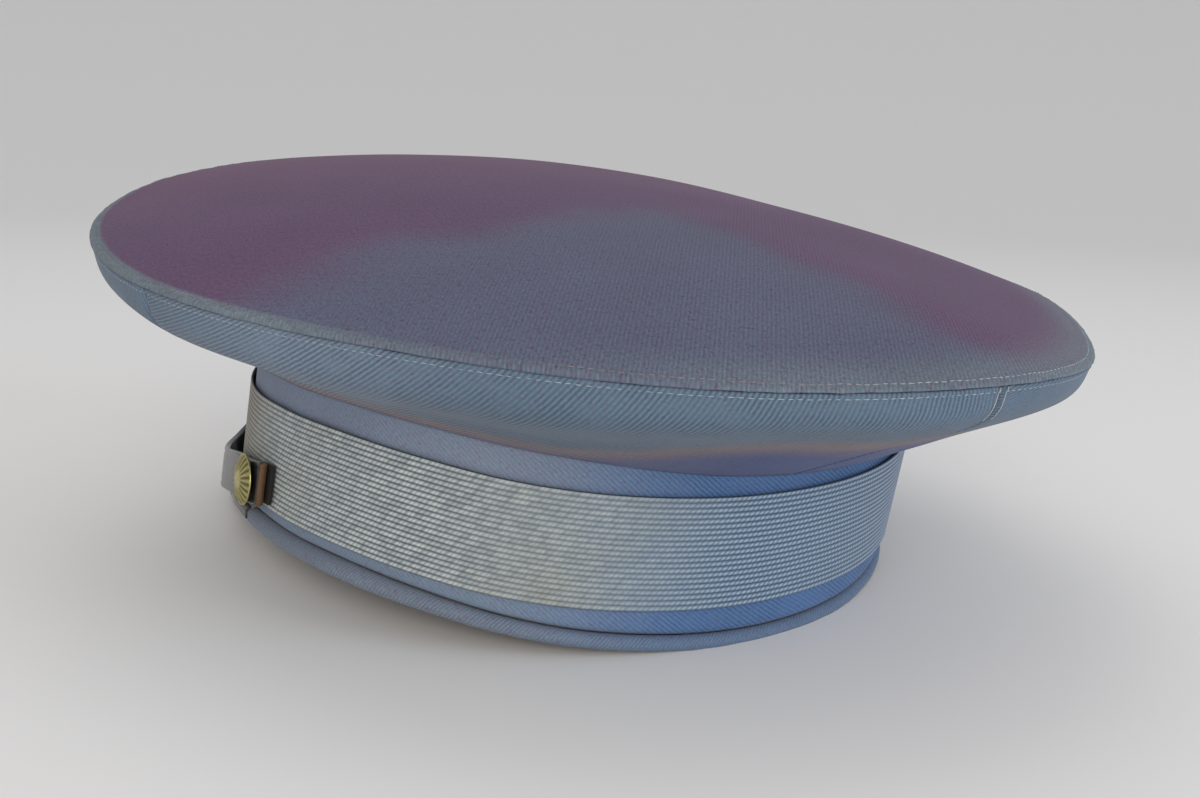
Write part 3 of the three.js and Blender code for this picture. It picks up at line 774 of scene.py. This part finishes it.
def felted_left(tree):
    return stretch_of_turns(tree, 25, 65, 140, 166, most=0.62)


band_serge = serge("band_serge", ridge="8490a2", furrow="647187", pitch=BAND_PITCH, relief=0.1,
                   tints=(greyer_left, shaded_low_left, bluer_right), felted=felted_left)
bm = lay_sheet(300, 48, band_place, band_weave,
               lambda u, v: 0.25 * uneven(360 * u, 9, 5.2) * (1 - v), joined=True)
make_piece("band_cloth", bm, [band_serge], ["band"], wall=1.6)

# %% Welt
WELT_END = 0.4  # turn left free beside the peak


def welt_place(u, v):
    turn = 360 * u
    angle = 2 * math.pi * v
    outset = WELT["outset"] + welt_radius(turn) * math.cos(angle)
    height = welt_middle(turn) + welt_radius(turn) * math.sin(angle)
    point = head_point(turn, outset, height)
    point.z = max(point.z, 0)
    return point


def welt_weave(u, v):
    return ridge_uv(u * BAND_ROUND, v * 13, 52)


def bluer_welt(tree):
    return stretch_of_turns(tree, 128, 165, 210, 270), "61748d", "4f6079"


welt_serge = serge("welt_serge", ridge="747e8d", furrow="5e6878", pitch=BAND_PITCH * 0.8,
                   relief=0.08, heather=1.0, tints=(bluer_welt,))
welt_start = (PEAK["end"] + WELT_END) / 360
bm = lay_sheet(300, 20, welt_place, welt_weave, arc=(welt_start, 1 - welt_start))
bmesh.ops.remove_doubles(bm, verts=bm.verts, dist=0.001 * MM)
bmesh.ops.holes_fill(bm, edges=[edge for edge in bm.edges if edge.is_boundary])
bmesh.ops.recalc_face_normals(bm, faces=bm.faces)
make_piece("welt_roll", bm, [welt_serge], ["bottom_welt"])

# %% [markdown]
# ## The braid
#
# The braid is a woven ribbon with a cord in every rib. Twenty-one ribs run round the cap, and
# over each lie short slanting floats of a silvery thread on a darker ground. The ribs are real
# relief in the sheet, and the floats are too fine for that, so the material draws them in the
# same places, row by row.

# %% Braid
RIBS = 21
RIB_RELIEF, FLOAT_PITCH = 0.22, 1.36  # millimetres
BRAID_ROUND = 600.0  # millimetres round the ribbon
print("each rib is", round(BRAID["height"] / RIBS, 2), "mm high")


def braid_place(u, v):
    height = BRAID["bottom"] + BRAID["height"] * (1 - v)
    return head_point(360 * u, BRAID["lean"] * (1 - v) - RIB_RELIEF, height)


def braid_relief(u, v):
    return RIB_RELIEF * abs(math.sin(math.pi * RIBS * v)) ** 0.7


# %% The braid's thread
def ribbed_braid():
    """Silvery floats on a dark ground: rows give the ribs, and a slanting beat along them the floats."""
    material, tree, shader = new_material("silvery_ribbed_braid")
    cloth = node(tree, "UVMap", uv_map="cloth")
    across, down = (node(tree, "SeparateXYZ", (cloth,), give=axis) for axis in "XY")
    drift = node(tree, "TexNoise", {"Vector": cloth, "Scale": 0.5, "Detail": 2.0})
    row = node(tree, "Math", (down, RIBS / BRAID["height"]), operation="MULTIPLY")
    number = node(tree, "Math", (row,), operation="FLOOR")
    in_row = node(tree, "Math", (row,), operation="FRACT")
    rib = node(tree, "Math", (node(tree, "Math", (in_row, math.pi), operation="MULTIPLY"),), operation="SINE")
    along = node(tree, "Math", (across, 1 / FLOAT_PITCH), operation="MULTIPLY")
    for shifter, shift in ((in_row, 0.7), (drift, 0.5), (number, 0.62)):
        along = node(tree, "Math", (shifter, shift, along), operation="MULTIPLY_ADD")
    round_beat = node(tree, "Math", (along, 2 * math.pi), operation="MULTIPLY")
    beat = node(tree, "MapRange", (node(tree, "Math", (round_beat,), operation="COSINE"), -1.0, 1.0))
    covered = node(tree, "Math", (beat, 0.6), operation="POWER")
    behind = stretch_of_turns(tree, 140, 172, 210, 270)
    lowest = node(tree, "Mix", (behind, 0.56, 0.22))
    covered = node(tree, "Mix", (covered, lowest, 1.0))
    rounded = node(tree, "Math", (rib, node(tree, "Mix", (behind, 0.9, 1.6))), operation="POWER")
    thread = node(tree, "Math", (rounded, covered), operation="MULTIPLY")
    worn = stretch_of_turns(tree, 118, 138, 152, 172, most=0.55)
    dyed = node(tree, "Mix", (worn, thread, 0.42))
    cell = node(tree, "CombineXYZ", (node(tree, "Math", (along,), operation="FLOOR"), number))
    chance = node(tree, "TexWhiteNoise", {"Vector": cell})
    silver = node(tree, "Mix", (chance, colour("a2adb0"), colour("c8d1d0")), **RGBA)
    ground = colour("333e4c")
    stains = node(tree, "TexNoise", {"Vector": cloth, "Scale": 0.022, "Detail": 2.0})
    olive = node(tree, "MapRange", (stains, 0.5, 0.68, 0.0, 0.35), **SMOOTH)
    bluer = stretch_of_turns(tree, 132, 172, 210, 270, most=0.9)
    # Painted shade, tinted tan, at the left end near the buttons, where the braid turns away.
    tan_shade_left_end = stretch_of_turns(tree, 48, 60, 70, 92, most=0.8)
    for mask, light, dark in (
            (olive, "b3b096", "3b4038"), (bluer, "8fa9bd", "28405f"), (tan_shade_left_end, "807252", "2c281f")):
        silver = node(tree, "Mix", (mask, silver, colour(light)), **RGBA)
        ground = node(tree, "Mix", (mask, ground, colour(dark)), **RGBA)
    base = node(tree, "Mix", (dyed, ground, silver), **RGBA)
    edge = node(tree, "MapRange", (down, 0.3, 0.12), **SMOOTH)
    tree.links.new(node(tree, "Mix", (edge, base, colour("2a2f3a")), **RGBA), shader.inputs["Base Color"])
    bump = node(tree, "Bump", {"Height": thread, "Strength": 0.7, "Distance": 0.25 * MM})
    tree.links.new(bump, shader.inputs["Normal"])
    shader.inputs["Roughness"].default_value = 0.5
    shader.inputs["Sheen Weight"].default_value = 0.1
    return material


bm = lay_sheet(240, RIBS * 6, braid_place, lambda u, v: (u * BRAID_ROUND, v * BRAID["height"]),
               braid_relief, joined=True)
make_piece("braid_ribbon", bm, [ribbed_braid()], ["braid"], wall=0.5)

# %% [markdown]
# ## The peak
#
# The peak is a stiff board covered with patent leather, which is leather under many coats of
# varnish: nearly black, with a wet gloss and faint ripples. Its section is drawn once, from the
# root over the top, round the edge and back underneath, and carried round as a closed ring. The
# top has a raised bead beside the edge. The underside is plain dull leather.

# %% Leathers
def grained_leather(name, dark, light, roughness, grain, coat=0.0, depth=0.05):
    """Leather with a pebbled grain, its size in millimetres, and if wanted a coat of varnish."""
    material, tree, shader = new_material(name)
    where = node(tree, "TexCoord", give="Object")
    cells = node(tree, "TexVoronoi", {"Vector": where, "Scale": 1 / grain / MM}, feature="SMOOTH_F1")
    fibre = node(tree, "TexNoise", {"Vector": where, "Scale": 600.0, "Detail": 4.0})
    base = node(tree, "Mix", (fibre, colour(dark), colour(light)), **RGBA)
    tree.links.new(base, shader.inputs["Base Color"])
    pebbles = node(tree, "Bump", {"Height": cells, "Strength": 0.5, "Distance": depth * MM})
    tree.links.new(pebbles, shader.inputs["Normal"])
    wear = node(tree, "Math", (fibre, 0.25, roughness - 0.12), operation="MULTIPLY_ADD")
    tree.links.new(wear, shader.inputs["Roughness"])
    if coat:
        shader.inputs["Coat Weight"].default_value = coat
        shader.inputs["Coat Roughness"].default_value = 0.06
        ripple = node(tree, "TexNoise", {"Vector": where, "Scale": 110.0, "Detail": 1.0})
        skin = node(tree, "Bump", {"Height": ripple, "Strength": 0.35, "Distance": 0.3 * MM})
        tree.links.new(skin, shader.inputs["Coat Normal"])
    print(name, "has", len(tree.nodes), "nodes")
    return material


patent = grained_leather("black_patent_leather", "08080a", "141416", roughness=0.45, grain=0.9,
                         coat=0.45, depth=0.02)
dull_leather = grained_leather("dull_black_leather", "0d0c0b", "1a1714", roughness=0.6, grain=0.7)
raw_leather = grained_leather("raw_tan_leather_edge", "4c3524", "74563c", roughness=0.85, grain=0.35)

# %% Closed rings
def lay_ring(columns, rows, place, weave):
    """A sheet whose far side meets its near side, like a tube, and whose two ends are closed."""
    bm = lay_sheet(columns, rows, place, weave, joined=True)
    caps = bmesh.ops.holes_fill(bm, edges=[edge for edge in bm.edges if edge.is_boundary])["faces"]
    bmesh.ops.recalc_face_normals(bm, faces=bm.faces)
    return bm, caps


def along_section(points, v):
    """A point on a closed section given by its corners, at a share v round it."""
    at = (v % 1) * len(points)
    i = int(at + 1e-6)
    return points[i % len(points)].lerp(points[(i + 1) % len(points)], at - i)


# %% Peak
PEAK_BEAD = dict(inside=2.6, width=0.7, height=0.45)
# Corners of the section, as shares of the reach and of the thickness.
PEAK_TOP = ((0, 0), (0, 1), (0.08, 1), (0.16, 1), (0.24, 1), (0.32, 1), (0.4, 1), (0.48, 1), (0.56, 1),
            (0.64, 1), (0.7, 1), (0.76, 1), (0.81, 1), (0.85, 1), (0.88, 1), (0.9, 1), (0.92, 1), (0.94, 1),
            (0.96, 1), (0.975, 0.98), (0.99, 0.87), (1, 0.65), (1, 0.35), (0.99, 0.13))
PEAK_UNDER = ((0.975, 0), (0.9, 0), (0.75, 0), (0.5, 0), (0.25, 0))
PEAK_SECTION = [Vector(corner) for corner in PEAK_TOP + PEAK_UNDER]


def peak_place(u, v):
    turn = PEAK["end"] * (2 * u - 1)
    root = head_point(turn, -BAND["setback"] + GAP, -foot_drop(turn) - GAP)
    reach = peak_reach(turn)
    edge = root + outward(turn) * reach
    edge.z = (root.z - PEAK["thickness"]) * (1 - min(peak_droop(turn), 1)) + PEAK["thickness"]
    share, level = along_section(PEAK_SECTION, v)
    point = root.lerp(edge, share)
    point.z += 4 * PEAK["camber"] * reach / peak_reach(0) * share * (1 - share)
    point.z += (level - 1) * PEAK["thickness"]
    if level == 1:
        point.z += PEAK_BEAD["height"] * bump_at((1 - share) * reach, PEAK_BEAD["inside"], PEAK_BEAD["width"])
    return point


bm, _ = lay_ring(158, len(PEAK_SECTION), peak_place, lambda u, v: (u * 300, v * 80))
where = bm.loops.layers.uv["place"]
for face in bm.faces:
    if face.normal.z < -0.5 and face.loops[0][where].uv.y > len(PEAK_TOP) / len(PEAK_SECTION):
        face.material_index = 1
make_piece("peak_leather", bm, [patent, dull_leather], ["peak"])

# %% [markdown]
# ## The chin strap
#
# The strap is a doubled strip of patent leather, slightly domed, with a crease pressed in along
# each edge. It bows away from the braid ahead of the buttons, where it has taken a set. It was
# cut off square behind each button, and that cut shows the raw tan leather inside.

# %% Strap
STRAP_CORNER, STRAP_CREASE = 0.6, 1.6  # millimetres: the corners' radius, the crease's place
STRAP_FACE_STEPS = 12


def strap_section():
    """Corners of the strap's section, each (height from its middle, distance out from its back)."""
    half, thick = STRAP["width"] / 2, STRAP["thickness"]
    points = []
    for side, out, start in ((-1, 0, 180), (1, 0, 270), (1, 1, 0), (-1, 1, 90)):
        centre = Vector((side * (half - STRAP_CORNER), STRAP_CORNER if out == 0 else thick - STRAP_CORNER))
        for step in range(4):
            angle = math.radians(start + 30 * step)
            points.append(centre + STRAP_CORNER * Vector((math.cos(angle), math.sin(angle))))
        if (side, out) == (1, 1):
            run = 2 * (half - STRAP_CORNER)
            for step in range(1, STRAP_FACE_STEPS):
                height = half - STRAP_CORNER - run * (step / STRAP_FACE_STEPS)
                crease = 0.22 * bump_at(half - abs(height), STRAP_CREASE, 0.35)
                points.append(Vector((height, thick - crease)))
    return points


SECTION = strap_section()


def strap_place(u, v):
    turn = STRAP["end"] * (2 * u - 1)
    height, out = along_section(SECTION, v)
    return head_point(turn, strap_standoff(turn) + out, strap_centre(turn) + height)


bm, cut_ends = lay_ring(300, len(SECTION), strap_place, lambda u, v: (u * 290, v * 30))
for face in cut_ends:
    face.material_index = 1
bmesh.ops.triangulate(bm, faces=cut_ends)
make_piece("chin_strap_leather", bm, [patent, raw_leather], ["chin_strap"])

for side in ("left", "right"):
    tab = bpy.data.objects[f"strap_tab_{side}"]
    tab.material_slots[0].material = dull_leather


# %% [markdown]
# ## The buttons
#
# A side button is stamped from thin brass, gilded, with a ring of rays round a small boss. It
# is turned from its profile with a spin, and the rays are then pressed into the dome. The gilt
# has dulled to a greenish yellow, and the hollows between the rays are painted darker as shade.

# %% Gilt
gilt, tree, shader = new_material("dull_gilt_brass")
spot = node(tree, "TexCoord", give="Object")
tarnish = node(tree, "TexNoise", {"Vector": spot, "Scale": 420.0, "Detail": 4.0})
pits = node(tree, "TexNoise", {"Vector": spot, "Scale": 1500.0, "Detail": 2.0})
hollow = node(tree, "Attribute", give="Fac", attribute_name="hollow")
plated = node(tree, "Mix", (tarnish, colour("a39a62"), colour("d6cd98")), **RGBA)
# The hollows between the rays are painted darker, as shade.
shaded_hollows = node(tree, "Mix", (hollow, plated, colour("6b6238")), **RGBA)
tree.links.new(shaded_hollows, shader.inputs["Base Color"])
dulled = node(tree, "Math", (tarnish, 0.3, 0.22), operation="MULTIPLY_ADD")
tree.links.new(dulled, shader.inputs["Roughness"])
bump = node(tree, "Bump", {"Height": pits, "Strength": 0.4, "Distance": 0.06 * MM})
tree.links.new(bump, shader.inputs["Normal"])
shader.inputs["Metallic"].default_value = 1.0
print("the gilt has", len(tree.nodes), "nodes")

# %% Buttons
BUTTON_STEPS = 144
RAY_DEPTH = 0.3  # millimetres
SHANK = dict(radius=1.5, back=-4)
DOME_FOOT = 8  # the corner of the profile where the dome starts
# The rim and the dome: a share of the radius, and the height above the seat.
BUTTON_DOME = ((0.5, 0), (0.94, 0.1), (1, 0.4), (0.985, 0.7), (0.95, 0.8), (0.9, 1.02), (0.82, 1.36),
               (0.72, 1.64), (0.6, 1.88), (0.46, 2.06), (0.32, 2.14), (0.25, 2.1), (0.2, 2.2), (0, 2.3))


def button_profile():
    """Radius and height of the button's outline, from the back of its shank to the top of its dome."""
    seat = strap_standoff(BUTTON["turn"]) + STRAP["thickness"] + BUTTON["seat"]
    shank = [(0, SHANK["back"]), (SHANK["radius"], SHANK["back"]), (SHANK["radius"], seat)]
    return shank + [(share * BUTTON["radius"], seat + lift) for share, lift in BUTTON_DOME]


for name, side in (("left", 1), ("right", -1)):
    turn = side * BUTTON["turn"]
    bm = bmesh.new()
    profile = [bm.verts.new((radius * MM, 0, height * MM)) for radius, height in button_profile()]
    outline = [bm.edges.new(pair) for pair in zip(profile, profile[1:])]
    bmesh.ops.spin(bm, geom=profile + outline, cent=(0, 0, 0), axis=(0, 0, 1), angle=2 * math.pi,
                   steps=BUTTON_STEPS, use_merge=True)
    bmesh.ops.remove_doubles(bm, verts=bm.verts, dist=0.001 * MM)
    bmesh.ops.recalc_face_normals(bm, faces=bm.faces)
    depth = bm.verts.layers.float.new("hollow")
    foot = button_profile()[DOME_FOOT][1]
    for vert in bm.verts:
        radius = vert.co.xy.length / MM / BUTTON["radius"]
        if 0.3 < radius < 0.96 and vert.co.z / MM > foot - 0.5:
            wave = 0.5 - 0.5 * math.cos(BUTTON["rays"] * math.atan2(vert.co.y, vert.co.x))
            fade = min(1, (radius - 0.3) / 0.15, (0.98 - radius) / 0.06)
            vert.co.z -= RAY_DEPTH * wave * fade * MM
            vert[depth] = wave * fade
    height = strap_centre(turn)
    facing = Vector((0, 0, 1)).rotation_difference(square_out(turn, height)).to_matrix().to_4x4()
    seat = head_point(turn, 0, height) * MM
    bmesh.ops.transform(bm, matrix=Matrix.Translation(seat) @ facing, verts=bm.verts)
    make_piece(f"side_button_gilt_{name}", bm, [gilt], [f"side_button_{name}"])


# %% [markdown]
# ## The stitches
#
# Two rows of topstitching hold the crown's seam, one on each side of it, and the upright seams
# at the front and the back have a row on each side too. Each stitch is a tiny capsule that dips
# into the cloth at both ends. The thread is pale where it has rubbed clean, and rustier in
# between. There are over a thousand stitches, so one is made and then copied, and it has only a
# few dozen faces.

# %% Thread
thread, tree, shader = new_material("cotton_thread")
soiled = node(tree, "MapRange", (place_axis(tree, 1), 0.3, 0.6), **SMOOTH)
tone = colour("a4adb0")
for code, stretch in (("8c7470", (112, 128, 152, 168)), ("5d5c6c", (15, 45, 128, 150))):
    soil = node(tree, "Math", (stretch_of_turns(tree, *stretch), soiled), operation="MULTIPLY")
    tone = node(tree, "Mix", (soil, tone, colour(code)), **RGBA)
strand = node(tree, "TexNoise", {"Vector": node(tree, "TexCoord", give="Object"), "Scale": 2500.0})
lay = node(tree, "Math", (strand, 0.5), operation="MULTIPLY")
tree.links.new(node(tree, "Mix", (lay, tone, colour("6c7175")), **RGBA), shader.inputs["Base Color"])
shader.inputs["Roughness"].default_value = 0.8
print("the thread has", len(tree.nodes), "nodes")

# %% One stitch
STITCH = dict(pitch=1.9, length=1.35, radius=0.13)
bm = bmesh.new()
bm.loops.layers.uv.new("place")
along_x = Matrix.Rotation(math.pi / 2, 4, "Y")
bmesh.ops.create_uvsphere(bm, u_segments=6, v_segments=5, radius=1, matrix=along_x)
one_stitch = bpy.data.meshes.new("one_stitch")
bm.to_mesh(one_stitch)
bm.free()
spare = bpy.data.meshes.new("spare")
print("one stitch has", len(one_stitch.polygons), "faces")

# %% Laying stitches
def surface(place, turn, v):
    """A point on a surface, with its normal outwards and the directions round and down it."""
    step = 1e-3
    point = place(turn, v)
    along = (place(turn + step, v) - place(turn - step, v)).normalized()
    down = (place(turn, v + step) - place(turn, v - step)).normalized()
    normal = along.cross(down).normalized()
    if normal.dot(point - INSIDE) < 0:
        normal.negate()
    return point, normal, along, down


def round_spots(place, v, lift_at, first, last):
    """Stitches round a surface at one v: (turn, point, normal, direction) for each."""
    spots, turn = [], first
    while turn < last:
        point, normal, along, _ = surface(place, turn, v)
        spots.append((turn, point + normal * lift_at(turn, v), normal, along))
        turn += STITCH["pitch"] / (place(turn + 0.5, v) - place(turn - 0.5, v)).length
    return spots


def stitch_rows(name, spots, rust=0.0):
    """One joined mesh of stitches, each swung and stretched a little by noise."""
    bm = bmesh.new()
    for i, (turn, point, normal, direction) in enumerate(spots):
        swing = 0.18 * noise.noise(Vector((i * 3.7, 1.9, 0)))
        direction = (direction + normal.cross(direction) * swing).normalized()
        long = STITCH["length"] * (0.5 + 0.2 * noise.noise(Vector((i * 2.3, 8.1, 0))))
        wide = STITCH["radius"]
        axes = Matrix((direction * long, normal.cross(direction) * wide, normal * wide)).transposed().to_4x4()
        single = bmesh.new()
        single.from_mesh(one_stitch)
        in_metres = Matrix.Diagonal((MM, MM, MM, 1)) @ Matrix.Translation(point) @ axes
        bmesh.ops.transform(single, matrix=in_metres, verts=single.verts)
        where = single.loops.layers.uv["place"]
        for face in single.faces:
            for loop in face.loops:
                loop[where].uv = (turn / 360, rust + 0.3 * noise.noise(Vector((i * 0.21, 4.4, 0))))
        single.to_mesh(spare)
        single.free()
        bm.from_mesh(spare)
    bmesh.ops.recalc_face_normals(bm, faces=bm.faces)
    return make_piece(name, bm, [thread])


# %% The crown's two rows
def top_by_turn(turn, v):
    return top_place(turn / 360, v)


def upper_row_v():
    """How far down the top panel the upper row runs: found by walking the section inwards."""
    v = 1.0
    while (1 - top_section(v)[0]) * CROWN["half_length"] < UPPER_STITCH or v > 0.95:
        v -= 0.001
    return v


def low_lift(turn, share):
    return quarter_relief(turn, share) + 0.06 + 0.04 * uneven(turn, 3, 6.6)


def high_lift(turn, v):
    return top_relief(turn / 360, v) + 0.05 * uneven(turn, 3, 2.8)


low = round_spots(down_quarter, QUARTER_STITCH / QUARTER_LENGTH, low_lift, 0.5, 359.5)
high = round_spots(top_by_turn, upper_row_v(), high_lift, 0, 359.5)
stitch_rows("crown_stitches_low", low, rust=0.1)
stitch_rows("crown_stitches_high", high, rust=0.6)
print("stitches round the crown:", len(low), "below the seam,", len(high), "above it")

# %% The upright seams' rows
SEAM_STITCH = dict(beside=1.4, start=1.5, length=15.0)
upright = []
for seam in (SEAMS[0], SEAMS[2]):
    for side in (-1, 1):
        down = SEAM_STITCH["start"]
        while down < SEAM_STITCH["length"]:
            share = down / QUARTER_LENGTH
            beside = SEAM_STITCH["beside"] + 0.4 * noise.noise(Vector((seam + side, down * 0.12, 2.2)))
            turn = seam + side * math.degrees(beside / SEAM_ROUND)
            point, normal, _, below = surface(down_quarter, turn, share)
            lift = quarter_relief(turn % 360, share) + 0.06
            upright.append((turn % 360, point + normal * lift, normal, below))
            down += STITCH["pitch"] * 0.8
stitch_rows("upright_seam_stitches", upright, rust=0.1)
print("stitches:", len(low) + len(high) + len(upright))
